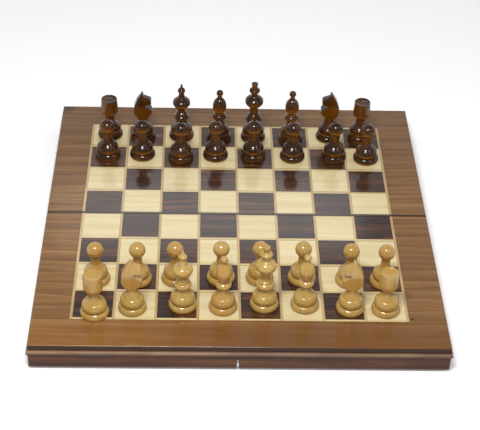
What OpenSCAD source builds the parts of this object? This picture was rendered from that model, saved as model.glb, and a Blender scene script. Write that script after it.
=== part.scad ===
// Folding chess case with its thirty-two turned wooden pieces, standing on the opened board.
// Each half of the board is a shallow box, open below, and two butt hinges join them at the seam.
// X runs along the seam, Y from the light side to the dark side, and Z up. The origin lies on the
// surface that the opened board rests on, below the middle of the seam. Millimetres.

/* [Board] */
// Length of each half along the seam
board_w = 400; // [330:1:500]
// Depth of each half from the seam to its outer edge
half_d = 199; // [165:1:250]
// Height of each half from its rim to the playing surface
half_h = 29; // [24:1:45]
// Clear gap between the halves at the seam
seam_gap = 0.6; // [0.2:0.1:1.5]
// Thickness of the playing panel
panel_t = 4; // [3:0.5:8]
// Thickness of the four rails under each panel
rail_t = 9; // [8:0.5:14]
// Radius along the panel's outer top edge
panel_round = 1.2; // [0.5:0.1:2]
// Radius along the rails' outer bottom edge
rim_round = 3; // [1:0.5:5]
// Radius of the panel's corners, seen from above
corner_round = 1.5; // [0.5:0.5:4]

/* [Edge moulding] */
// Height of the shadow groove below the panel
groove_h = 2.6; // [0.4:0.1:3.5]
// Depth of the shadow groove
groove_d = 0.8; // [0.3:0.1:1.5]
// Height of the bead below the groove
bead_h = 5; // [3:0.5:8]
// How far the bead stands out from the rail
bead_out = 1.6; // [0.3:0.1:2]

/* [Inlay] */
// Side of one square
square = 38; // [30:0.5:46]
// Width of the pale lines between the squares
line_w = 2.5; // [1:0.1:4]
// Thickness of the inlaid veneer
veneer_t = 1; // [0.6:0.1:1.5]

/* [Hinges] */
// Distance of each hinge's middle from the board's middle
hinge_x = 125; // [60:1:140]
// Length of each hinge
hinge_len = 32; // [24:1:50]
// Thickness of a hinge leaf
leaf_t = 0.9; // [0.6:0.1:1.2]
// Width of a hinge leaf from the seam
leaf_w = 8; // [7:0.1:8.5]
// Outer radius of the knuckles
knuckle_r = 1.5; // [1.3:0.1:1.8]
// Radius of the hinge pin
hinge_pin_r = 0.7; // [0.5:0.05:0.8]
// How far the hinge axis lies below the rims
axis_drop = 0.15; // [0.1:0.05:0.4]
// Distance of each screw from the hinge's middle
screw_x = 10.5; // [7:0.5:11]
// Radius of a screw's shank
screw_r = 1.1; // [0.8:0.1:1.4]
// Radius of a screw's head
screw_head_r = 2.1; // [1.6:0.1:2.6]
// Length of a screw
screw_len = 9; // [6:0.5:14]

/* [Latch] */
// Place of the latch along the outer rail
latch_x = -2; // [-60:1:60]
// Thickness of the hook
hook_t = 1.8; // [1.2:0.1:2.4]
// Width of the hook
hook_w = 3; // [2.6:0.1:3.6]
// Height of the two cross pins above the rims
cross_h = 3; // [2.5:0.1:4]
// Depth of the two cross pins behind the rail's face
cross_in = 2.5; // [2.3:0.1:3.2]
// Radius of the two cross pins
cross_r = 0.8; // [0.6:0.05:0.9]
// Length of the two cross pins
cross_len = 8; // [6:0.5:16]
// Metal beyond the hook's notch
hook_tip = 2.4; // [2:0.1:4]

/* [Chess pieces] */
// Radius of every piece's base
base_r = 14; // [11:0.1:16.5]
// Radius of the narrow bodies: pawns, bishops and knights
body_r = 11.7; // [9:0.1:12.5]
// Radius of the wide bodies: rooks, queens and kings
wide_body_r = 12.2; // [9:0.1:13]
// Radius of a pawn's head
pawn_head_r = 8.1; // [6.5:0.1:9]
// Thickness of a knight's head
knight_t = 11; // [8:0.5:13]
// Radius of the tenon that joins a knight's head to its base
tenon_r = 2.5; // [1.5:0.1:3.5]
// Length of the tenon
tenon_len = 6; // [3:0.5:10]

/* [Hidden] */
$fn = 96;

FILES = ["a", "b", "c", "d", "e", "f", "g", "h"];
SIDES = ["left", "right"];
HALVES = ["front", "back"];

cut = 1; // how far a cutting shape runs past what it cuts
fit = 0.1; // clearance of a leaf in its mortise, and of a screw in its hole
run = 0.06; // radial clearance of a turning pin
snug = 0.02; // radial clearance of a pin or tenon that is pressed or glued in

// heights
axis_z = knuckle_r; // the knuckles just touch the ground
rim_z = axis_z + axis_drop;
top_z = rim_z + half_h;
panel_z = top_z - panel_t;
bead_top = panel_z - groove_h;

// places in plan, for the front half, whose Y is negative
seam_y = seam_gap / 2;
edge_y = seam_y + half_d;

// the field of squares
pitch = square + line_w;
field_w = 8 * pitch + line_w;
field_d = 4 * pitch;

// hinge
leaf_edge = seam_y + leaf_w;
knuckle_gap = 0.4;
knuckle_len = (hinge_len - 2 * knuckle_gap) / 3;
turn_room = 0.35; // clearance of the other half's knuckles
knuckle_room = knuckle_r + turn_room;
screw_y = seam_y + rail_t / 2;
point_len = 3 * screw_r;
point_r = 0.1; // the blunt tip that a screw's point runs to
driver_w = 0.5; // the slot in a screw's head
driver_d = 0.4;

// latch
cross_y = edge_y - cross_in;
cross_z = rim_z + cross_h;
heel = 0.2; // how far the hook's eye is wider than its arm
slot_room = 0.3; // gap on each side of the hook in its slot
slot_w = hook_t + 2 * slot_room;
slot_d = cross_in + hook_w / 2 + heel + 2 * slot_room;
notch_at = 2 * (cross_h + axis_drop);
notch_r = cross_r + slot_room;
hook_len = notch_at + hook_tip;
hook_slot_h = cross_h + hook_len + 2 * slot_room;
strike_slot_h = hook_len - cross_h + 4 * slot_room;

// How far each piece stands off the middle of its square, from file a to file h.
light_back_off = [[2, -12.5], [-2.5, -5], [5.5, -0.5], [4, -3], [3.5, 1.5], [2.5, 1], [6, -3], [0, -4.5]];
light_pawn_off = [[0.5, -4.5], [1, -4], [-2.5, -2.5], [2, -1], [0, -0.5], [1.5, 0], [8, -2.5], [2, -3.5]];
dark_pawn_off = [[-1, 4.5], [-3, 4.5], [-1, 1], [-3, 4.5], [-1.5, 5.8], [1.5, 4], [7.5, 5], [2.5, 2]];
dark_back_off = [[-0.5, 2.5], [-3.5, -1.5], [-1, 1.5], [1, -1.5], [-1, -0.2], [1, -1.5], [3.5, 2.5], [-1, 3.2]];

// ---- helpers ----------------------------------------------------------------------------------

function file_x(i) = (i - 3.5) * pitch;
function row_y(row) = seam_y + (row - 1) * pitch + square / 2;
function arc(at, r, from, to, steps = 6) =
  [for (i = [0 : steps]) let(a = from + (to - from) * i / steps) at + r * [cos(a), sin(a)]];

module along_x(len, r) rotate([0, 90, 0]) cylinder(len, r = r);

module on_half(half) {
  mirror([0, half == "back" ? 1 : 0, 0]) children();
}

module stain() color([0.55, 0.38, 0.23]) children();
module pale() color([0.9, 0.82, 0.62]) children();
module ebony() color([0.25, 0.16, 0.13]) children();
module brass() color([0.72, 0.6, 0.32]) children();
module steel() color([0.75, 0.75, 0.77]) children();
module lacquer(side) color(side == "light" ? [0.8, 0.62, 0.36] : [0.3, 0.16, 0.07]) children();

// ---- board ------------------------------------------------------------------------------------

// What a rounded corner takes off a rectangle; inward is the way from the corner to the inside.
module round_off(at, inward, r) {
  if (r > 0) translate(at + r * inward) difference() {
    translate([inward[0] > 0 ? -r - cut : 0, inward[1] > 0 ? -r - cut : 0]) square(r + cut);
    circle(r);
  }
}

// A rectangle whose two lower corners are rounded by low_r and two upper corners by high_r.
module soft_rect(x0, x1, z0, z1, low_r, high_r) {
  difference() {
    translate([x0, z0]) square([x1 - x0, z1 - z0]);
    round_off([x0, z0], [1, 1], low_r);
    round_off([x1, z0], [-1, 1], low_r);
    round_off([x0, z1], [1, -1], high_r);
    round_off([x1, z1], [-1, -1], high_r);
  }
}

// The front half's panel before it is inlaid: rounded along its three outer edges, square at the seam.
module panel_blank() {
  w = board_w / 2;
  intersection() {
    rotate([90, 0, 0]) linear_extrude(edge_y + cut) soft_rect(-w, w, panel_z, top_z, 0, panel_round);
    translate([-w - cut, 0, 0]) rotate([90, 0, 90]) linear_extrude(2 * (w + cut))
      soft_rect(-edge_y, edge_y, panel_z, top_z, 0, panel_round);
    translate([0, 0, panel_z - cut]) linear_extrude(panel_t + 2 * cut) difference() {
      soft_rect(-w, w, -edge_y, edge_y, corner_round, corner_round);
      translate([-w - cut, -seam_y]) square([2 * (w + cut), edge_y + cut + seam_y]);
    }
  }
}

module panel(half) {
  stain() on_half(half) difference() {
    panel_blank();
    translate([-field_w / 2, -seam_y - field_d, top_z - veneer_t])
      cube([field_w, field_d + cut, veneer_t + cut]);
  }
}

module squares(half, dark) {
  odd = (half == "front") == dark ? 0 : 1;
  on_half(half) for (i = [0 : 7], j = [0 : 3]) if ((i + j) % 2 == odd)
    translate([file_x(i) - square / 2, -seam_y - field_d + line_w + j * pitch, top_z - veneer_t])
      cube([square, square, veneer_t]);
}

module light_squares(half) pale() squares(half, false);
module dark_squares(half) ebony() squares(half, true);

module lines(half) {
  pale() on_half(half) translate([0, -seam_y - field_d, top_z - veneer_t]) {
    for (i = [0 : 8]) translate([-field_w / 2 + i * pitch, 0, 0]) cube([line_w, field_d, veneer_t]);
    for (i = [0 : 7], j = [0 : 3]) translate([file_x(i) - square / 2, j * pitch, 0])
      cube([square, line_w, veneer_t]);
  }
}

// The case's outline below the panel, as its end would show it: rounded rims, bead and shadow groove.
module case_section(half_w) {
  difference() {
    soft_rect(-half_w, half_w, rim_z, panel_z, rim_round, 0);
    for (s = [-1, 1]) translate([s * half_w, (bead_top + panel_z) / 2])
      square([2 * groove_d, groove_h], center = true);
  }
  soft_rect(-half_w - bead_out, half_w + bead_out, bead_top - bead_h, bead_top, bead_out, bead_out);
}

// What a mitred rail keeps of the case's section: the wedge between two corners of the frame.
module mitre(side) {
  w = board_w / 2;
  past = 1 + 2 * bead_out / rail_t;
  outer = [[-w, -edge_y], [w, -edge_y], [w, -seam_y], [-w, -seam_y]];
  inner = [for (p = outer) [p[0] - sign(p[0]) * rail_t, p[1] + (p[1] == -seam_y ? -1 : 1) * rail_t]];
  far = [for (i = [0 : 3]) inner[i] + (outer[i] - inner[i]) * past];
  i = side == "outer" ? 0 : side == "right" ? 1 : side == "seam" ? 2 : 3;
  k = (i + 1) % 4;
  linear_extrude(top_z) polygon([far[i], far[k], inner[k], inner[i]]);
}

// One rail of the front half: the outer rail runs along X, and the others are cut from the
// section that runs along Y.
module rail(side) {
  intersection() {
    if (side == "outer")
      rotate([90, 0, 90]) linear_extrude(board_w + 4 * bead_out, center = true) case_section(edge_y);
    else
      translate([0, -seam_y, 0]) rotate([90, 0, 0]) linear_extrude(half_d + 2 * bead_out)
        case_section(board_w / 2);
    mitre(side);
  }
}

// The shape cut for the hinges: leaves let in flush, knuckles turning clear, holes for the screws.
module hinge_cuts() {
  for (x = [-hinge_x, hinge_x]) translate([x, 0, 0]) {
    translate([-hinge_len / 2 - fit, -leaf_edge - fit, rim_z - cut])
      cube([hinge_len + 2 * fit, leaf_edge + fit, leaf_t + cut]);
    translate([-hinge_len / 2 - fit, 0, axis_z]) along_x(hinge_len + 2 * fit, knuckle_room);
    for (s = [-screw_x, screw_x]) translate([s, -screw_y, rim_z]) cylinder(screw_len + cut, r = screw_r + fit);
  }
}

// The slot in an outer rail for the hook, with the hole for its cross pin.
module latch_cuts(height) {
  translate([latch_x - slot_w / 2, -edge_y - cut, rim_z - cut]) cube([slot_w, slot_d + cut, height + cut]);
  cross_pin(snug);
}

module outer_rail(half) {
  stain() on_half(half) difference() {
    rail("outer");
    latch_cuts(half == "front" ? hook_slot_h : strike_slot_h);
  }
}

module side_rail(half, side) {
  stain() on_half(half) rail(side);
}

module seam_rail(half) {
  stain() on_half(half) difference() {
    rail("seam");
    hinge_cuts();
  }
}

// ---- hinges and latch -------------------------------------------------------------------------

// Where knuckle k starts along a hinge; the front leaf has the outer two and the back leaf the middle one.
function knuckle_x(k) = -hinge_len / 2 + k * (knuckle_len + knuckle_gap);

module leaf(own) {
  difference() {
    union() {
      translate([-hinge_len / 2, -leaf_edge, rim_z]) cube([hinge_len, leaf_edge - knuckle_room, leaf_t]);
      for (k = own) translate([knuckle_x(k), 0, 0]) {
        translate([0, 0, axis_z]) along_x(knuckle_len, knuckle_r);
        translate([0, -knuckle_room - fit, rim_z])
          cube([knuckle_len, knuckle_room + fit - hinge_pin_r, leaf_t]);
      }
    }
    translate([-hinge_len, 0, axis_z]) along_x(2 * hinge_len, hinge_pin_r + run);
    for (s = [-screw_x, screw_x]) translate([s, -screw_y, 0]) {
      translate([0, 0, rim_z - cut]) cylinder(leaf_t + 2 * cut, r = screw_r + fit);
      translate([0, 0, rim_z]) cylinder(leaf_t, screw_head_r + fit, screw_r + fit);
    }
  }
}

module hinge_leaves(half) {
  brass() on_half(half) for (x = [-hinge_x, hinge_x]) translate([x, 0, 0])
    leaf(half == "front" ? [0, 2] : [1]);
}

module hinge_pins() {
  steel() for (x = [-hinge_x, hinge_x]) translate([x - hinge_len / 2, 0, axis_z])
    along_x(hinge_len, hinge_pin_r);
}

// A countersunk wood screw with a slotted head, driven upwards.
module wood_screw() {
  difference() {
    union() {
      cylinder(leaf_t, screw_head_r, screw_r);
      cylinder(screw_len - point_len, r = screw_r);
      translate([0, 0, screw_len - point_len]) cylinder(point_len, screw_r, point_r);
    }
    translate([-screw_head_r, -driver_w / 2, -cut]) cube([2 * screw_head_r, driver_w, cut + driver_d]);
  }
}

module hinge_screws(half) {
  brass() on_half(half) for (x = [-hinge_x, hinge_x], s = [-screw_x, screw_x])
    translate([x + s, -screw_y, rim_z]) wood_screw();
}

module cross_pin(grow = 0) {
  translate([latch_x - cross_len / 2 - grow, -cross_y, cross_z]) along_x(cross_len + 2 * grow, cross_r + grow);
}

// The flat hook stands upright in its slot, and its notch faces out of the slot.
module latch_hook() {
  steel() translate([latch_x - hook_t / 2, -cross_y, cross_z]) rotate([90, 0, 90]) linear_extrude(hook_t)
    difference() {
      union() {
        circle(hook_w / 2 + heel);
        translate([-hook_w / 2, 0]) square([hook_w, hook_len - hook_w / 2]);
        translate([0, hook_len - hook_w / 2]) circle(hook_w / 2);
      }
      circle(cross_r + run);
      translate([0, notch_at]) circle(notch_r);
      translate([-hook_w, notch_at - notch_r]) square([hook_w, 2 * notch_r]);
    }
}

module latch_pin() steel() cross_pin();
module strike_pin() steel() on_half("back") cross_pin();

// ---- chess pieces -----------------------------------------------------------------------------
// Outlines are [radius, height] points, from the middle of the base up to the top.

// The foot that all pieces share: a rounded skirt, a groove and a bell that narrows to the neck.
bell_low = 10.2;
bell_round = 7.4;
function foot(body, neck, neck_h) = concat(
  [[0, 0], [base_r - 0.8, 0], [base_r, 1], [base_r, 2.4], [base_r - 0.5, 4.2], [base_r - 1.3, 5.5],
    [base_r - 2.4, 6.6], [body - 1, 6.9]],
  arc([body - bell_round, bell_low], bell_round, -20, 56),
  [[neck + 2.6, 18.2], [neck + 1.4, 20.2], [neck + 0.6, 22.2], [neck, max(neck_h, 23)]]
);

function pawn_outline() = concat(
  foot(body_r, 4.2, 29),
  arc([0, 37.8], pawn_head_r, -acos(4.3 / pawn_head_r), 90, 10)
);

function rook_outline() = concat(
  foot(wide_body_r, 4.8, 26.4),
  [[6.6, 27.8], [8.6, 30.4], [9.5, 33.2], [9.5, 35.4], [8.8, 47.2], [8.3, 48],
    [7.5, 48], [5.6, 47.4], [1.4, 47], [1, 46.4], [0, 46.4]]
);

function bishop_outline() = concat(
  foot(body_r, 4.3, 25.6),
  [[6.6, 27.6], [7.8, 29.8], [7.6, 31.4], [5.8, 33], [4.9, 33.8], [5.1, 35], [6.8, 38.8], [7.7, 43.4],
    [7.4, 47], [5.8, 50.6], [3.9, 53], [2.8, 54.4], [2.3, 56.2], [2.4, 57.6]],
  arc([0, 60.4], 3.7, -42, 60, 5),
  [[0, 64]]
);

function queen_outline() = concat(
  foot(wide_body_r, 4.8, 23.4),
  [[7.4, 24.8], [8.4, 27], [7.8, 29], [6, 30.2], [6.2, 31.6], [5.4, 33], [4.4, 34], [4.3, 37.4],
    [5.6, 39.2], [8.6, 42], [9.8, 45.2], [9.2, 48], [6.8, 50.2], [4.1, 51.6], [3.3, 54], [2.8, 57.6],
    [3.8, 58.9], [4.3, 61], [3.5, 62.9], [1.6, 64.6], [0.8, 67], [0.3, 69.6], [0, 69.6]]
);

function king_outline() = concat(
  foot(wide_body_r, 4.9, 23.4),
  [[8.1, 24.4], [9.1, 26.6], [8.5, 29], [6.6, 30.2], [6.5, 31.6], [4.9, 33], [4.6, 39.6], [5.4, 42.4],
    [8.9, 46.2], [10.2, 49.6], [9.7, 52.4], [7.5, 54.8], [4.6, 56.6], [3.5, 58.2], [3.4, 61], [5.2, 62],
    [6, 64], [5.2, 65.8], [3.3, 66.8], [3.1, 67.6], [3.6, 73], [0, 73]]
);

knight_base_h = 26.4;
knight_top_h = 60.5;
function knight_base_outline() = concat(foot(body_r, 5, knight_base_h), [[0, knight_base_h]]);

module turned(outline) rotate_extrude() polygon(outline);

module on_square(i, row, off) translate([file_x(i) + off[0], row + off[1], top_z]) children();

// The knight's head, looking along +X: a turned blank sliced flat on both sides, then sawn at the
// brow and the mouth.
module knight_head() {
  intersection() {
    translate([0, knight_t / 2, 0]) rotate([90, 0, 0]) linear_extrude(knight_t) polygon([
      [-5.2, knight_base_h], [-8.2, 30.4], [-10, 36], [-9.6, 43.4], [-6.6, 51], [-2.8, 57.2],
      [-0.9, knight_top_h], [0.3, knight_top_h - 0.5], [1.5, 55.4], [4, 54.4], [8.4, 52.2], [9.4, 51],
      [9.6, 46.6], [2, 44.6], [10.2, 39], [10.6, 35.6], [8.6, 31.8], [5.4, 29.2], [5.2, knight_base_h]
    ]);
    turned([[0, knight_base_h], [5.2, knight_base_h], [7.8, 28.6], [10, 31.8], [11, 36.6], [11, 46], [9.6, 52.5],
      [6, 58.5], [2.4, knight_top_h + 1], [0, knight_top_h + 1]]);
    rotate([90, 0, 90]) translate([0, 0, -base_r]) linear_extrude(2 * base_r) polygon([
      [-knight_t / 2, 0], [knight_t / 2, 0], [knight_t / 2, 44], [2.2, knight_top_h + 1],
      [-2.2, knight_top_h + 1], [-knight_t / 2, 44]
    ]);
  }
  translate([0, 0, knight_base_h - tenon_len]) cylinder(tenon_len + cut, r = tenon_r);
}

module knight_base() {
  difference() {
    turned(knight_base_outline());
    translate([0, 0, knight_base_h - tenon_len - run]) cylinder(tenon_len + cut, r = tenon_r + snug);
  }
}

// Rooks, knights and bishops stand on files a, b and d at the left, and h, g and f at the right.
function back_row(side) = side == "light" ? -row_y(4) : row_y(4);
function back_off(side) = side == "light" ? light_back_off : dark_back_off;

module placed(side, i) on_square(i, back_row(side), back_off(side)[i]) children();

module pawn(side, i) {
  row = side == "light" ? -row_y(3) : row_y(3);
  off = side == "light" ? light_pawn_off[i] : dark_pawn_off[i];
  lacquer(side) on_square(i, row, off) turned(pawn_outline());
}

module rook(side, hand) lacquer(side) placed(side, hand == "left" ? 0 : 7) turned(rook_outline());
module bishop(side, hand) lacquer(side) placed(side, hand == "left" ? 3 : 5) turned(bishop_outline());
module queen(side) lacquer(side) placed(side, 2) turned(queen_outline());
module king(side) lacquer(side) placed(side, 4) turned(king_outline());

module knight(side, hand, part) {
  lacquer(side) placed(side, hand == "left" ? 1 : 6) rotate([0, 0, hand == "left" ? 0 : 180]) {
    if (part == "base") knight_base();
    if (part == "head") knight_head();
  }
}

// ---- the nodes --------------------------------------------------------------------------------

for (h = HALVES) {
  panel(h);
  light_squares(h);
  dark_squares(h);
  lines(h);
  outer_rail(h);
  side_rail(h, "left");
  side_rail(h, "right");
  seam_rail(h);
  hinge_leaves(h);
  hinge_screws(h);
}
hinge_pins();
latch_hook();
latch_pin();
strike_pin();
for (s = ["light", "dark"]) {
  for (i = [0 : 7]) pawn(s, i);
  queen(s);
  king(s);
  for (h = SIDES) {
    rook(s, h);
    bishop(s, h);
    knight(s, h, "base");
    knight(s, h, "head");
  }
}
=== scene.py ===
import math
import random

import bpy
from mathutils import Matrix, Vector


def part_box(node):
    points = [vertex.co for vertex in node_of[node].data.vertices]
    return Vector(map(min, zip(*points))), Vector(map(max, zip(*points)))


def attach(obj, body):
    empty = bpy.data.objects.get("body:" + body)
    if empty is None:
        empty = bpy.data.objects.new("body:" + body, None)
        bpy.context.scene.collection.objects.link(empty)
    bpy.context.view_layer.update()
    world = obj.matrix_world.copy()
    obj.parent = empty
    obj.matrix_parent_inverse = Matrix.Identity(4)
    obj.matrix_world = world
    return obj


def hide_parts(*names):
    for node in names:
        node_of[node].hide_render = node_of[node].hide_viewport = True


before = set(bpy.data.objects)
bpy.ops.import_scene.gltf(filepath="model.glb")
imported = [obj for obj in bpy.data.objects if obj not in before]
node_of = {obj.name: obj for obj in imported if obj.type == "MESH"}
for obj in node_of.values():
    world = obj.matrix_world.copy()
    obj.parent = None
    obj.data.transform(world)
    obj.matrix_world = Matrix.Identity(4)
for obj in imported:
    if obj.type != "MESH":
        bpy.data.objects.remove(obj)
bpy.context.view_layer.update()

# ---- The two panels -------------------------------------------------------------------------------
# Each half of the board is closed by a 4 mm panel of straight-grained hardwood, its grain running
# along the seam. It is stained walnut brown and then lacquered to a low gloss. The sawn edges and the
# eased arris are painted much darker, partly stain that the end grain drinks deeper, partly painted
# shade.

panel_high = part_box("back_panel")[1]
board_top = panel_high.z
half_width = panel_high.x
half_depth = panel_high.y
knot_place = (0.1665, -0.1585, board_top)
scorched_corner = (-half_width, half_depth, board_top)
seam_strip = 0.003
strip_fade = 0.0006


def tint(red, green, blue):
    """A stain or lacquer as it is read off a colour card, 0 to 255, made ready for a shader."""
    def linear(level):
        share = level / 255
        return share / 12.92 if share <= 0.04045 else ((share + 0.055) / 1.055) ** 2.4
    return (linear(red), linear(green), linear(blue), 1)


def node(tree, kind, sockets, out=0, **settings):
    """Adds a node with its settings; each socket takes a plain value or another node's output."""
    made = tree.nodes.new("ShaderNode" + kind)
    for setting, value in settings.items():
        setattr(made, setting, value)
    for socket, value in sockets.items():
        if isinstance(value, bpy.types.NodeSocket):
            tree.links.new(value, made.inputs[socket])
        else:
            made.inputs[socket].default_value = value
    return made.outputs[out]


def maths(tree, operation, *values):
    return node(tree, "Math", dict(enumerate(values)), operation=operation)


def scaled(tree, factor, amount):
    """An amount made weaker or stronger by a plain factor."""
    return maths(tree, "MULTIPLY", amount, factor)


def axis_of(tree, at, axis):
    """One coordinate of a place: 0 across the board, 1 along it and 2 up."""
    return node(tree, "SeparateXYZ", {0: at}, out=axis)


def between(tree, value, low, high):
    """0 below low and 1 above high, with a soft rise from one to the other."""
    sockets = {"Value": value, "From Min": low, "From Max": high}
    return node(tree, "MapRange", sockets, interpolation_type="SMOOTHSTEP")


def laid_over(tree, amount, under, over, how="MIX"):
    return node(tree, "Mix", {0: amount, 6: under, 7: over}, out=2, data_type="RGBA", blend_type=how)


def streaks(tree, at, scale, detail=4, warp=0.0, rough=0.55):
    """Noise drawn out along the grain: a low scale along it and a high one across it."""
    place = node(tree, "Mapping", {"Vector": at, "Scale": scale})
    sockets = {"Vector": place, "Scale": 1, "Detail": detail, "Roughness": rough, "Distortion": warp}
    return node(tree, "TexNoise", sockets)


def lacquered(name, roughness, coat, coat_roughness):
    """An empty finish under clear lacquer: its material, its tree and its shader."""
    finish = bpy.data.materials.new(name)
    finish.use_nodes = True
    shader = finish.node_tree.nodes["Principled BSDF"]
    shader.inputs["Specular IOR Level"].default_value = 0.2
    shader.inputs["Roughness"].default_value = roughness
    shader.inputs["Coat Weight"].default_value = coat
    shader.inputs["Coat Roughness"].default_value = coat_roughness
    return finish, finish.node_tree, shader


def wood_run(run, along, across):
    """A texture scale for wood whose grain runs along axis `run`."""
    return [along if axis == run else across for axis in range(3)]


def sawn_grain(tree, at, run, deep, mid, pale):
    """Colour and surface height of straight-grained wood: bands of growth, fibres and short pores."""
    drift = streaks(tree, at, wood_run(run, 3, 9), detail=2)
    sway = node(tree, "VectorMath", {0: drift, "Scale": 0.02}, operation="SCALE")
    wander = node(tree, "VectorMath", {0: at, 1: sway}, operation="ADD")
    growth = streaks(tree, wander, wood_run(run, 5, 120), detail=5, warp=0.4)
    fibre = streaks(tree, at, wood_run(run, 22, 900), detail=3)
    pores = streaks(tree, at, wood_run(run, 160, 2600), detail=1)
    colour = laid_over(tree, between(tree, growth, 0.36, 0.54), deep, mid)
    colour = laid_over(tree, between(tree, growth, 0.52, 0.68), colour, pale)
    colour = laid_over(tree, scaled(tree, 0.45, between(tree, fibre, 0.42, 0.66)), colour, pale)
    open_pores = scaled(tree, 0.5, between(tree, pores, 0.58, 0.68))
    colour = laid_over(tree, open_pores, colour, deep)
    height = maths(tree, "SUBTRACT", scaled(tree, 0.5, fibre), open_pores)
    return colour, height


def dull_spots(tree, at, shader, low, high, spots=35, detail=5):
    """Lacquer that lies unevenly: its roughness drifts between two values."""
    handled = streaks(tree, at, (spots, spots, spots), detail)
    sockets = {"Value": handled, "From Min": 0.3, "From Max": 0.7, "To Min": low, "To Max": high}
    tree.links.new(node(tree, "MapRange", sockets), shader.inputs["Roughness"])


def raised(tree, shader, height, depth, strength=0.6):
    bump = node(tree, "Bump", {"Height": height, "Distance": depth, "Strength": strength})
    tree.links.new(bump, shader.inputs["Normal"])


def object_place(tree):
    return node(tree, "TexCoord", {}, out=3)


def upward(tree):
    """How far a face looks up: 1 on the flat top, 0 on an upright edge."""
    return axis_of(tree, node(tree, "TexCoord", {}, out=1), 2)


def within(tree, at, middle, radius, fade):
    """1 inside a round spot and 0 outside it."""
    away = node(tree, "VectorMath", {0: at, 1: middle}, out=1, operation="DISTANCE")
    return maths(tree, "SUBTRACT", 1, between(tree, away, radius, radius + fade))


def dark_seam_strip(tree, at, colour):
    """A dark strip along the back half's edge, where the two halves meet."""
    along = axis_of(tree, at, 1)
    near = between(tree, along, seam_strip + strip_fade, seam_strip)
    strip = maths(tree, "MULTIPLY", near, between(tree, along, 0, 0.0001))
    return laid_over(tree, scaled(tree, 0.92, strip), colour, tint(42, 22, 14))


def panel_stain():
    finish, tree, shader = lacquered("panel_stain", roughness=0.4, coat=0.6, coat_roughness=0.13)
    at = object_place(tree)
    across, along = axis_of(tree, at, 0), axis_of(tree, at, 1)
    colour, height = sawn_grain(tree, at, 0, deep=tint(104, 71, 36), mid=tint(127, 89, 47),
                                pale=tint(147, 108, 62))

    # flat-sawn figure: wide arched rings drawn out along the board
    arch = node(tree, "Mapping", {"Vector": at, "Scale": (2.2, 9, 9), "Location": (0.31, 0.12, 0)})
    rings = node(tree, "TexWave", {"Vector": arch, "Scale": 2.1, "Distortion": 7, "Detail": 2.5,
                                   "Detail Scale": 0.8}, bands_direction="Y", wave_profile="SAW")
    late_wood = scaled(tree, 0.3, between(tree, rings, 0.55, 1.0))
    colour = laid_over(tree, late_wood, colour, tint(172, 128, 84))
    early_wood = scaled(tree, 0.35, between(tree, rings, 0.25, 0.0))
    colour = laid_over(tree, early_wood, colour, tint(84, 56, 36))

    # the stain is redder along the light side's border, and that border is darker towards its right
    # corner; the dark side's half is painted deeper as shade; everywhere the stain has taken in clouds
    border = between(tree, along, -0.15, -0.19)
    colour = laid_over(tree, scaled(tree, 0.6, border), colour, tint(131, 82, 24))
    corner = maths(tree, "MULTIPLY", border, between(tree, across, -0.15, 0.03))
    colour = laid_over(tree, scaled(tree, 0.5, corner), colour, tint(92, 56, 24))
    # painted shade: the dark side's half is darkened all over
    back_half_painted_shade = between(tree, along, 0.02, 0.1)
    colour = laid_over(tree, scaled(tree, 0.28, back_half_painted_shade), colour, tint(78, 52, 32))
    clouds = between(tree, streaks(tree, at, (7, 16, 16), detail=3), 0.42, 0.7)
    colour = laid_over(tree, scaled(tree, 0.4, clouds), colour, tint(104, 70, 42))

    # a small dark knot by the corner of the field, and a scorched patch at one far corner
    knot = within(tree, at, knot_place, 0.0008, 0.0012)
    colour = laid_over(tree, knot, colour, tint(40, 28, 24))
    scorch = within(tree, at, scorched_corner, 0.008, 0.012)
    colour = laid_over(tree, scaled(tree, 0.75, scorch), colour, tint(62, 46, 38))

    colour = dark_seam_strip(tree, at, colour)
    # painted shade, partly also deeper stain: every face that does not look up (the sawn edges and the
    # eased arris) is darkened, and gets less lacquer
    edge_stain_and_shade = between(tree, upward(tree), 0.93, 0.5)
    colour = laid_over(tree, scaled(tree, 0.95, edge_stain_and_shade), colour, tint(40, 24, 16))
    tree.links.new(colour, shader.inputs["Base Color"])
    tree.links.new(maths(tree, "MULTIPLY_ADD", edge_stain_and_shade, -0.5, 0.6), shader.inputs["Coat Weight"])
    dull_spots(tree, at, shader, 0.34, 0.5)
    raised(tree, shader, height, 0.00006)
    return finish


def finish_on(node_name, finish):
    """Gives one of the frame's own pieces its finish."""
    node_of[node_name].data.materials.clear()
    node_of[node_name].data.materials.append(finish)


border_finish = panel_stain()
for half in ("front", "back"):
    finish_on(half + "_panel", border_finish)

# ---- The rails ------------------------------------------------------------------------------------
# Four rails under each panel make the box. They are moulded on the spindle with a shadow groove and a
# rounded bead, mitred at the corners, and stained darker than the panel. The bead carries a painted
# highlight, a pale band broken in patches, partly also stain rubbed thin by handling.

bead_low, bead_high = 0.0196, 0.0235
bead_fade = 0.0012


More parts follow.
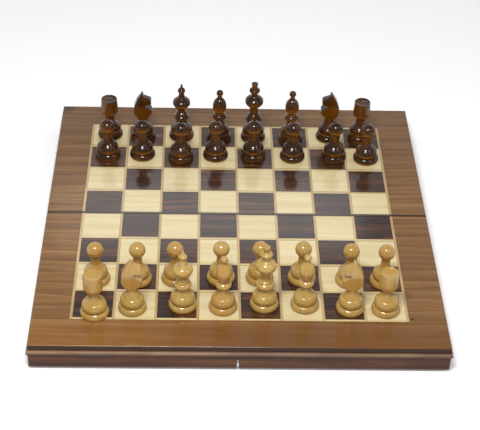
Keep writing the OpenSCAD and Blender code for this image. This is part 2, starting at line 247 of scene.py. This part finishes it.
def rail_stain(name, run):
    finish, tree, shader = lacquered(name, roughness=0.42, coat=0.1, coat_roughness=0.3)
    at = object_place(tree)
    colour, height = sawn_grain(tree, at, run, deep=tint(56, 31, 18), mid=tint(78, 45, 26),
                                pale=tint(98, 60, 36))
    tall = axis_of(tree, at, 2)
    # painted highlight: the bead's band of height is painted pale tan, in patches, partly as rubbed
    # wear
    bead = maths(tree, "MULTIPLY", between(tree, tall, bead_low, bead_high),
                 between(tree, tall, bead_high + bead_fade, bead_high))
    worn = between(tree, streaks(tree, at, wood_run(run, 30, 200), detail=3), 0.3, 0.6)
    bead_highlight_and_wear = maths(tree, "MULTIPLY", bead, maths(tree, "ADD", scaled(tree, 0.25, worn), 0.5))
    colour = laid_over(tree, bead_highlight_and_wear, colour, tint(160, 132, 106))
    clouds = between(tree, streaks(tree, at, (12, 12, 20), detail=3), 0.45, 0.7)
    colour = laid_over(tree, scaled(tree, 0.45, clouds), colour, tint(58, 33, 20))
    tree.links.new(colour, shader.inputs["Base Color"])
    dull_spots(tree, at, shader, 0.36, 0.52)
    raised(tree, shader, height, 0.00008)
    return finish


rail_along = rail_stain("rail_stain_long", 0)
rail_across = rail_stain("rail_stain_short", 1)
for half in ("front", "back"):
    for rail, finish in (("outer", rail_along), ("seam", rail_along), ("left", rail_across),
                         ("right", rail_across)):
        finish_on(f"{half}_{rail}_rail", finish)

# ---- The inlaid field -----------------------------------------------------------------------------
# Sixty-four squares of 1 mm veneer, maple and fumed oak, are let into the panel with pale stringing
# between them. The glue lines show as hairlines, and each square is cut from another part of the leaf.

line_low, line_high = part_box("front_lines")
pitch = (line_high.y - line_low.y) / 4
stringing = (line_high.x - line_low.x) - 8 * pitch
square = pitch - stringing
glue_line = 0.00035
line_edge = 0.0001


def cell_of(tree, at):
    """Which square of the field a point lies in, as whole numbers, and how far along that square."""
    counted = node(tree, "VectorMath", {0: at, "Scale": 1 / pitch}, operation="SCALE")
    cell = node(tree, "VectorMath", {0: counted}, operation="FLOOR")
    share = node(tree, "VectorMath", {0: counted}, operation="FRACTION")
    return cell, share


def from_middle(tree, share, axis):
    """Distance from the middle of the square along one axis, in metres."""
    off_middle = maths(tree, "SUBTRACT", axis_of(tree, share, axis), 0.5)
    return maths(tree, "MULTIPLY", maths(tree, "ABSOLUTE", off_middle), pitch)


def veneer(name, deep, mid, pale, flame, flame_share, glue, spread):
    """Squares cut from one leaf. `flame` colours its figure; `spread` is how far squares differ."""
    finish, tree, shader = lacquered(name, roughness=0.38, coat=1, coat_roughness=0.12)
    at = object_place(tree)
    cell, share = cell_of(tree, at)
    leaf = node(tree, "TexWhiteNoise", {"Vector": cell}, out=1)
    moved = node(tree, "VectorMath", {0: at, 1: leaf}, operation="ADD")
    colour, height = sawn_grain(tree, moved, 0, deep, mid, pale)
    figure = between(tree, streaks(tree, moved, (14, 90, 90), detail=4, warp=0.8), 0.56, 0.72)
    colour = laid_over(tree, scaled(tree, flame_share, figure), colour, flame)
    tone = node(tree, "TexWhiteNoise", {"Vector": cell}, out=0)
    sockets = {"Value": tone, "To Min": 1 - spread, "To Max": 1 + spread}
    colour = laid_over(tree, 1, colour, node(tree, "MapRange", sockets), "MULTIPLY")
    reach = maths(tree, "MAXIMUM", from_middle(tree, share, 0), from_middle(tree, share, 1))
    seam = between(tree, reach, square / 2 - glue_line, square / 2)
    colour = laid_over(tree, scaled(tree, 0.8, seam), colour, glue)
    colour = dark_seam_strip(tree, at, colour)
    tree.links.new(colour, shader.inputs["Base Color"])
    dull_spots(tree, at, shader, 0.3, 0.42)
    raised(tree, shader, maths(tree, "SUBTRACT", height, seam), 0.00006)
    return finish


def line_veneer():
    """Pale stringing: long strips run from edge to edge, short ones are fitted between them. All are
    one pale wood; the long strips, their grain turned the other way, are painted a darker tan as
    painted shade for the different sheen they show.
    """
    finish, tree, shader = lacquered("stringing", roughness=0.38, coat=1, coat_roughness=0.12)
    at = object_place(tree)
    share = cell_of(tree, at)[1]
    strip = between(tree, from_middle(tree, share, 0), square / 2 - line_edge, square / 2 + line_edge)
    # painted shade: the long strips get the same wood in a darker tan, standing in for their sheen
    long_strip_shaded_colour = sawn_grain(tree, at, 1, deep=tint(168, 138, 88), mid=tint(186, 156, 104),
                          pale=tint(200, 174, 122))[0]
    short_run, height = sawn_grain(tree, at, 0, deep=tint(188, 164, 112), mid=tint(204, 182, 130),
                                   pale=tint(214, 194, 146))
    colour = dark_seam_strip(tree, at, laid_over(tree, strip, short_run, long_strip_shaded_colour))
    tree.links.new(colour, shader.inputs["Base Color"])
    dull_spots(tree, at, shader, 0.34, 0.46)
    raised(tree, shader, height, 0.00004)
    return finish


maple = veneer("maple_veneer", deep=tint(204, 187, 138), mid=tint(214, 197, 150),
               pale=tint(221, 206, 160), flame=tint(200, 180, 130), flame_share=0.25,
               glue=tint(150, 120, 76), spread=0.03)
fumed_oak = veneer("fumed_oak_veneer", deep=tint(24, 11, 6), mid=tint(50, 26, 13),
                   pale=tint(98, 62, 38), flame=tint(120, 62, 26), flame_share=0.55,
                   glue=tint(22, 12, 8), spread=0.22)
stringing_finish = line_veneer()
for half in ("front", "back"):
    finish_on(half + "_light_squares", maple)
    finish_on(half + "_dark_squares", fumed_oak)
    finish_on(half + "_lines", stringing_finish)

# ---- Hinges and latch -----------------------------------------------------------------------------
# Two brass butt hinges are let in flush below the seam and screwed to both seam rails. The latch is a
# flat steel hook on a cross pin, with a second cross pin to catch it when the case is shut.


def worked_metal(name, body, bright, tarnish, roughness, run):
    """Rolled and brushed metal, dulled in patches by handling."""
    finish = bpy.data.materials.new(name)
    finish.use_nodes = True
    tree = finish.node_tree
    shader = tree.nodes["Principled BSDF"]
    shader.inputs["Metallic"].default_value = 1
    at = object_place(tree)
    brushed = streaks(tree, at, wood_run(run, 60, 5200), detail=2)
    patches = streaks(tree, at, (220, 220, 220), detail=4)
    colour = laid_over(tree, between(tree, brushed, 0.4, 0.62), body, bright)
    dulled = scaled(tree, 0.5, between(tree, patches, 0.52, 0.72))
    colour = laid_over(tree, dulled, colour, tarnish)
    tree.links.new(colour, shader.inputs["Base Color"])
    sockets = {"Value": patches, "From Min": 0.35, "From Max": 0.7, "To Min": roughness,
               "To Max": roughness + 0.22}
    tree.links.new(node(tree, "MapRange", sockets), shader.inputs["Roughness"])
    raised(tree, shader, brushed, 0.00002, 0.5)
    return finish


leaf_brass = worked_metal("rolled_brass", body=tint(196, 160, 84), bright=tint(226, 194, 118),
                          tarnish=tint(128, 96, 48), roughness=0.28, run=0)
screw_brass = worked_metal("turned_brass", body=tint(184, 146, 74), bright=tint(216, 180, 102),
                           tarnish=tint(104, 78, 40), roughness=0.3, run=2)
pin_steel = worked_metal("drawn_steel", body=tint(150, 150, 152), bright=tint(196, 196, 198),
                         tarnish=tint(98, 94, 92), roughness=0.24, run=0)
hook_steel = worked_metal("bright_steel", body=tint(176, 178, 182), bright=tint(220, 222, 226),
                          tarnish=tint(130, 128, 128), roughness=0.2, run=2)
for half in ("front", "back"):
    finish_on(half + "_hinge_leaves", leaf_brass)
    finish_on(half + "_hinge_screws", screw_brass)
for pin in ("hinge_pins", "latch_pin", "strike_pin"):
    finish_on(pin, pin_steel)
finish_on("latch_hook", hook_steel)

# ---- Pawns, and the foot that every piece shares --------------------------------------------------
# Sixteen pawns are turned from beech between centres: a rounded skirt, a groove and a bell that
# narrows to a waist below the ball. Half are clear lacquered, and half are stained dark before that.

chance = random.Random(64)
mm = 0.001
base_r = 14
narrow_body = 11.7
bell_round = 7.4
bell_middle = 10.2
sides_round = 72
on_axis = 0.01
closest_points = 0.02
sharp_edge = math.radians(38)
rings_per_metre = 420
tool_turns = 14000
most_lean = 0.07


def curve_through(points, steps=5):
    """A smooth line through the points of one stretch of an outline."""
    ends = [points[0]] + list(points) + [points[-1]]
    line = []
    for stretch in zip(ends, ends[1:], ends[2:], ends[3:]):
        for step in range(steps):
            t = step / steps
            line.append(tuple(
                0.5 * (2 * q + (r - p) * t + (2 * p - 5 * q + 4 * r - s) * t * t
                       + (3 * q - p - 3 * r + s) * t ** 3)
                for p, q, r, s in zip(*stretch)))
    return line + [tuple(points[-1])]


def arc(middle_r, middle_h, radius, start, stop, steps=6):
    """Points round an arc, from one angle to another in degrees."""
    turns = [math.radians(start + (stop - start) * k / steps) for k in range(steps + 1)]
    return [(middle_r + radius * math.cos(t), middle_h + radius * math.sin(t)) for t in turns]


def foot(body, neck, neck_height):
    """Skirt, groove and bell, up to the waist: [radius, height] in millimetres."""
    skirt = curve_through([(base_r - 0.9, 0), (base_r - 0.15, 0.5), (base_r, 1.4), (base_r, 2.7),
                           (base_r - 0.45, 4.2), (base_r - 1.25, 5.5), (base_r - 2.4, 6.4),
                           (body - 1.2, 6.5)])
    bell = curve_through([(body - 1.2, 6.6)] + arc(body - bell_round, bell_middle, bell_round, -22, 56)
                         + [(neck + 2.6, 18.2), (neck + 1.4, 20.2), (neck + 0.6, 22.2),
                            (neck, max(neck_height, 23))])
    return [(0, 0), (base_r - 0.9, 0)] + skirt + bell


def turned(name, outline, node_name, body, finish):
    """Spins an outline about the node's own axis; each piece comes from a blank of its own."""
    low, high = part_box(node_name)
    middle = (low + high) / 2
    stand = Vector((middle.x, middle.y, low.z))
    line = [outline[0]]
    for point in outline[1:]:
        if math.dist(point, line[-1]) > closest_points:
            line.append(point)
    corners, faces, rings = [], [], []
    for radius, height in line:
        if radius < on_axis:
            rings.append([len(corners)])
            corners.append((0, 0, height * mm))
            continue
        rings.append(range(len(corners), len(corners) + sides_round))
        for k in range(sides_round):
            turn = 2 * math.pi * k / sides_round
            corners.append((radius * mm * math.cos(turn), radius * mm * math.sin(turn), height * mm))
    for lower, upper in zip(rings, rings[1:]):
        for k in range(sides_round):
            n = (k + 1) % sides_round
            if len(lower) == 1:
                faces.append((lower[0], upper[n], upper[k]))
            elif len(upper) == 1:
                faces.append((lower[k], lower[n], upper[0]))
            else:
                faces.append((lower[k], lower[n], upper[n], upper[k]))
    mesh = bpy.data.meshes.new(name)
    mesh.from_pydata([Vector(corner) + stand for corner in corners], [], faces)
    mesh.shade_smooth()
    mesh.set_sharp_from_angle(angle=sharp_edge)
    piece = bpy.data.objects.new(name, mesh)
    bpy.context.scene.collection.objects.link(piece)
    cut_from_blank(piece, stand)
    return finished(piece, node_name, body, finish)


def cut_from_blank(piece, foot_place):
    """Writes where each point lay in the turner's blank: its grain runs upwards, a little out of
    true, and its heart lies off to one side. The piece also gets a shade of its own."""
    turn = Matrix.Rotation(chance.uniform(0, 2 * math.pi), 3, "Z")
    lean = Matrix.Rotation(chance.uniform(-most_lean, most_lean), 3, "X")
    shift = Vector((chance.uniform(0.014, 0.034), chance.uniform(-0.01, 0.01), chance.uniform(0, 5)))
    blank = piece.data.attributes.new("blank", "FLOAT_VECTOR", "POINT")
    for vertex, cell in zip(piece.data.vertices, blank.data):
        cell.vector = lean @ turn @ (vertex.co - foot_place) + shift
    shade = piece.data.attributes.new("shade", "FLOAT", "POINT")
    level = chance.random()
    shade.data.foreach_set("value", [level] * len(piece.data.vertices))


def finished(piece, node_name, body, finish):
    piece.data.materials.append(finish)
    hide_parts(node_name)
    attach(piece, body)
    return piece


def turned_wood(name, deep, mid, pale, fleck, warm, under, rough, coat, coat_rough):
    """Beech turned on the lathe: rings about the heart, fibres and short ray flecks up the piece,
    faint tool rings around it, glossy lacquer, and a painted warm reflection of the board on the
    undersides."""
    finish, tree, shader = lacquered(name, rough, coat, coat_rough)
    blank = node(tree, "Attribute", {}, out=1, attribute_name="blank")
    shade = node(tree, "Attribute", {}, out=2, attribute_name="shade")
    flat = node(tree, "VectorMath", {0: blank, 1: (1, 1, 0)}, operation="MULTIPLY")
    heart = node(tree, "VectorMath", {0: flat}, out=1, operation="LENGTH")
    wobble = streaks(tree, blank, (60, 60, 12), detail=2)
    years = maths(tree, "ADD", scaled(tree, rings_per_metre, heart), scaled(tree, 2.2, wobble))
    ring = between(tree, maths(tree, "FRACT", years), 0.55, 1)
    fibre = streaks(tree, blank, (700, 700, 30), detail=4)
    rays = between(tree, streaks(tree, blank, (1500, 1500, 240), detail=1), 0.62, 0.72)
    clouds = between(tree, streaks(tree, blank, (55, 55, 18), detail=3), 0.45, 0.7)
    colour = laid_over(tree, between(tree, fibre, 0.36, 0.62), deep, mid)
    colour = laid_over(tree, scaled(tree, 0.35, ring), colour, pale)
    colour = laid_over(tree, scaled(tree, 0.5, clouds), colour, pale)
    colour = laid_over(tree, scaled(tree, 0.45, shade), colour, warm)
    colour = laid_over(tree, scaled(tree, 0.3, rays), colour, fleck)
    # painted reflection: faces that look down are tinted warm orange, standing in for the lit board
    # reflected in them
    lower = between(tree, upward(tree), 0.35, -0.45)
    colour = laid_over(tree, scaled(tree, 0.8, lower), colour, under)
    # only a knight's head is darkened and reddened, deep in the sawn mouth
    mouth_darkened = node(tree, "Attribute", {}, out=2, attribute_name="mouth_darkened")
    colour = laid_over(tree, mouth_darkened, colour, tint(84, 36, 16))
    tree.links.new(colour, shader.inputs["Base Color"])
    dull_spots(tree, blank, shader, rough - 0.06, rough + 0.08, spots=120, detail=3)
    up = axis_of(tree, blank, 2)
    tool = maths(tree, "SINE", scaled(tree, tool_turns, up))
    raised(tree, shader, maths(tree, "ADD", scaled(tree, 0.25, tool), fibre), 0.00002)
    return finish


# the under colours are the painted warm reflection of the board on each piece's underside
light_wood = turned_wood("clear_beech", deep=tint(160, 126, 58), mid=tint(175, 143, 72),
                         pale=tint(192, 163, 96), fleck=tint(140, 103, 50), warm=tint(174, 126, 56),
                         under=tint(150, 99, 35), rough=0.32, coat=0.85, coat_rough=0.1)
dark_wood = turned_wood("dark_stained_beech", deep=tint(22, 10, 4), mid=tint(44, 22, 6),
                        pale=tint(116, 66, 12), fleck=tint(12, 6, 3), warm=tint(38, 19, 6),
                        under=tint(148, 88, 12), rough=0.3, coat=0.8, coat_rough=0.06)
dark_wood.node_tree.nodes["Principled BSDF"].inputs["Specular IOR Level"].default_value = 0.05
wood_of = {"light": light_wood, "dark": dark_wood}


def both_sides(outline, kind, places=("",)):
    """Turns one kind of piece for the light side and then for the dark one, at each of its places."""
    for side in ("light", "dark"):
        for place in places:
            name = f"{side}_{kind}{place}"
            turned("turned_" + name, outline, name, name, wood_of[side])


ball_r = 8.1
ball_height = 37.8
ball_waist = 4.3
ball_from = -math.degrees(math.acos(ball_waist / ball_r))
pawn_line = foot(narrow_body, 4.2, 29) + arc(0, ball_height, ball_r, ball_from, 90, 26)
both_sides(pawn_line, "pawn", ["_" + file for file in "abcdefgh"])

# ---- Rooks ----------------------------------------------------------------------------------------
# Two rooks a side, turned from beech in one with the foot. They carry a plain tapered tub instead of
# battlements, turned a little hollow on top, with the mark of the lathe centre in the middle.

wide_body = 12.2
rook_line = (
    foot(wide_body, 4.8, 26.2)
    + curve_through([(4.8, 26.4), (5.3, 27.1), (6.8, 28.4), (8.7, 30.8), (9.5, 33), (9.6, 34.8)])
    + curve_through([(9.6, 34.8), (9.3, 40.5), (8.8, 47.3), (8.6, 47.8), (8.2, 48)])
    + curve_through([(8.2, 48), (7.7, 47.8), (6.8, 47.2), (4, 46.9), (1.4, 46.9)])
    + curve_through([(1.4, 46.9), (1, 46.5), (0.5, 46.4), (0, 46.4)])
)
both_sides(rook_line, "rook", ("_left", "_right"))

# ---- Bishops --------------------------------------------------------------------------------------
# Two bishops a side, turned from beech in one with the foot: a collar, a long egg-shaped head and a
# small ball on a thin neck. They are lacquered like the pawns.

bishop_line = (
    foot(narrow_body, 4.3, 25.2)
    + curve_through([(4.3, 25.5), (4.9, 26.3), (6.6, 27.4), (7.7, 29), (7.8, 30.4), (7.1, 31.9),
                     (5.8, 33)])
    + curve_through([(5.8, 33), (5, 33.7), (4.9, 34.2), (5.2, 35.2), (6.7, 38.4), (7.65, 42.4),
                     (7.55, 46.2), (6.4, 49.8), (4.9, 52), (3.6, 53.5), (2.8, 54.9), (2.4, 56.2),
                     (2.5, 57.4)])
    + arc(0, 60.4, 3.8, -46, 90, 12)
)
both_sides(bishop_line, "bishop", ("_left", "_right"))

# ---- Queens ---------------------------------------------------------------------------------------
# One queen a side, turned from beech in one with the foot: a wide collar, a plain waist, a crown
# shaped like an onion and a small pointed finial. Both are lacquered like the pawns.

queen_line = (
    foot(wide_body, 4.8, 23.4)
    + curve_through([(4.8, 23.5), (6, 24), (7.5, 24.9), (8.4, 26.6), (8.1, 28.4), (6.7, 29.9),
                     (6, 30.3)])
    + curve_through([(6, 30.3), (6.3, 31.1), (6.2, 32), (5.3, 33.1), (4.5, 34)])
    + curve_through([(4.5, 34), (4.2, 35.6), (4.4, 37.5), (5.6, 39.3), (8.5, 42), (9.7, 44.8),
                     (9.4, 47.6), (7.3, 49.9), (4.8, 51.2), (4.1, 52.4), (3.6, 54.4), (2.8, 58.2)])
    + curve_through([(2.8, 58.2), (3.6, 59.4), (4.25, 61.2), (3.6, 63), (2.1, 64.4), (1.5, 65.8),
                     (1, 67.8), (0.6, 69.4), (0, 69.6)])
)
both_sides(queen_line, "queen")

# ---- Kings ----------------------------------------------------------------------------------------
# The tallest pieces, one a side, turned and lacquered like the queens: a wide collar, a longer waist,
# a broad crown, a ring, and a plain peg that widens to its flat top.

king_line = (
    foot(wide_body, 4.9, 23.4)
    + curve_through([(4.9, 23.5), (6.6, 23.9), (8.2, 24.7), (9.1, 26.6), (8.6, 28.6), (7.2, 29.9),
                     (6.5, 30.3)])
    + curve_through([(6.5, 30.3), (6.7, 31.1), (6.4, 32.1), (5.3, 32.9), (4.8, 33.4)])
    + curve_through([(4.8, 33.4), (4.5, 36.4), (4.6, 39.8), (5.6, 42.5), (8.8, 46.1), (10.15, 49.2),
                     (9.8, 52.2), (7.6, 54.7), (4.8, 56.5), (3.7, 57.8), (3.3, 59.4), (3.5, 60.9)])
    + curve_through([(3.5, 60.9), (5.1, 61.9), (6, 63.8), (5.3, 65.7), (3.6, 66.7)])
    + curve_through([(3.6, 66.7), (3.1, 67.6), (3.2, 69.6), (3.6, 72.5), (3.4, 72.9), (3, 73), (0, 73)])
)
both_sides(king_line, "king")

# ---- Knights --------------------------------------------------------------------------------------
# Each knight is two pieces glued with a tenon: a turned foot, and a head that is turned, sliced flat
# on both cheeks and sawn at the brow and the mouth. Its sawn corners are eased with abrasive paper.

knight_foot = foot(narrow_body, 5, 26.3) + [(4.8, 26.4), (0, 26.4)]
head_grid = 0.00045
mouth_in = 0.0034
mouth_height = 0.0448
mouth_darkening_reach = 0.0032
deepest_mouth_darkening = 0.85


def carved_head(name, node_name, body, finish):
    """The head, copied from its own blank shape and then eased all over. The wood is darkened and
    reddened deep in the mouth."""
    head = bpy.data.objects.new(name, node_of[node_name].data.copy())
    head.data.materials.clear()
    bpy.context.scene.collection.objects.link(head)
    skin = head.modifiers.new("skin", "REMESH")
    skin.mode = "VOXEL"
    skin.voxel_size = head_grid
    sanding = head.modifiers.new("sanding", "SMOOTH")
    sanding.factor = 0.5
    sanding.iterations = 5
    bpy.context.view_layer.update()
    shaped = head.evaluated_get(bpy.context.evaluated_depsgraph_get())
    eased = bpy.data.meshes.new_from_object(shaped)
    head.modifiers.clear()
    head.data = eased
    eased.name = name
    eased.shade_smooth()
    low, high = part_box(node_name)
    middle = (low + high) / 2
    cut_from_blank(head, Vector((middle.x, middle.y, board_top)))
    inward = mouth_in if name.endswith("left") else -mouth_in
    mouth = (middle.x + inward, board_top + mouth_height)
    marks = []
    for vertex in eased.vertices:
        away = math.dist((vertex.co.x, vertex.co.z), mouth)
        marks.append(max(0, deepest_mouth_darkening - away / mouth_darkening_reach))
    eased.attributes.new("mouth_darkened", "FLOAT", "POINT").data.foreach_set("value", marks)
    return finished(head, node_name, body, finish)


for side in ("light", "dark"):
    for hand in ("left", "right"):
        body = f"{side}_knight_{hand}"
        turned(f"turned_{side}_knight_foot_{hand}", knight_foot, f"{side}_knight_base_{hand}", body,
               wood_of[side])
        carved_head(f"carved_{side}_knight_head_{hand}", f"{side}_knight_head_{hand}", body,
                    wood_of[side])

# ---- Floor, light and camera ----------------------------------------------------------------------
# A sheet of plain white paper, a pale sky that is brighter at the horizon than overhead, and three
# soft lamps. The camera looks down on the board from the light side.

floor_reach = 4
floor_glow = 0.14
paper_white = (0.975, 0.975, 0.975, 1)
paper_shadow = (0.955, 0.955, 0.955, 1)
sky_white = (1, 1, 1, 1)
sky_overhead = (0.36, 0.36, 0.37, 1)
sky_behind = (0.3, 0.3, 0.31, 1)

floor_mesh = bpy.data.meshes.new("floor")
floor_corners = [(x * floor_reach, y * floor_reach, 0) for x, y in ((-1, -1), (1, -1), (1, 1), (-1, 1))]
floor_mesh.from_pydata(floor_corners, [], [(0, 1, 2, 3)])
floor = bpy.data.objects.new("floor", floor_mesh)
bpy.context.scene.collection.objects.link(floor)
paper, paper_tree, paper_shader = lacquered("white_paper", roughness=0.9, coat=0, coat_roughness=0.5)
paper_shader.inputs["Specular IOR Level"].default_value = 0.1
paper_shader.inputs["Emission Color"].default_value = (1, 1, 1, 1)
paper_shader.inputs["Emission Strength"].default_value = floor_glow
fleece = streaks(paper_tree, object_place(paper_tree), (40, 40, 40), detail=3)
paper_tree.links.new(laid_over(paper_tree, fleece, paper_shadow, paper_white),
                     paper_shader.inputs["Base Color"])
floor_mesh.materials.append(paper)

sky = bpy.data.worlds.new("studio")
sky.use_nodes = True
bpy.context.scene.world = sky
sky_tree = sky.node_tree
sky_shader = sky_tree.nodes["Background"]
way = node(sky_tree, "TexCoord", {}, out=0)
overhead = between(sky_tree, axis_of(sky_tree, way, 2), 0.42, 0.64)
behind = between(sky_tree, axis_of(sky_tree, way, 1), 0.1, -0.5)
sky_colour = laid_over(sky_tree, overhead, sky_white, sky_overhead)
sky_colour = laid_over(sky_tree, scaled(sky_tree, 0.75, behind), sky_colour, sky_behind)
sky_tree.links.new(sky_colour, sky_shader.inputs["Color"])
sky_shader.inputs["Strength"].default_value = 0.95


def soft_lamp(name, place, width, height, power):
    """A soft box that looks at the middle of the board."""
    lamp = bpy.data.lights.new(name, "AREA")
    lamp.shape = "RECTANGLE"
    lamp.size = width
    lamp.size_y = height
    lamp.energy = power
    holder = bpy.data.objects.new(name, lamp)
    holder.location = place
    toward = Vector((0, 0, board_top)) - Vector(place)
    holder.rotation_euler = toward.to_track_quat("-Z", "Y").to_euler()
    bpy.context.scene.collection.objects.link(holder)


soft_lamp("key", (-0.1, -0.53, 0.98), width=0.32, height=0.24, power=9.4)
soft_lamp("side", (0.75, -0.5, 0.95), width=0.14, height=0.14, power=1.2)
soft_lamp("back", (-0.03, 1.15, 0.95), width=0.66, height=0.16, power=0.55)

view_elevation = math.radians(38.69)
view_azimuth = math.radians(2.12)
view_roll = math.radians(1.98)
view_distance = 1.404
view_aim = Vector((0.0025, -0.0006, board_top))
film_width = 36
focal_length = 99.9

lens = bpy.data.cameras.new("camera")
lens.sensor_width = film_width
lens.lens = focal_length
camera = bpy.data.objects.new("camera", lens)
aimed = (Matrix.Rotation(-view_azimuth, 3, "Z") @ Matrix.Rotation(math.pi / 2 - view_elevation, 3, "X")
         @ Matrix.Rotation(view_roll, 3, "Z"))
camera.rotation_euler = aimed.to_euler()
camera.location = view_aim + aimed @ Vector((0, 0, view_distance))
bpy.context.scene.collection.objects.link(camera)
bpy.context.scene.camera = camera
bpy.context.scene.view_settings.view_transform = "Standard"
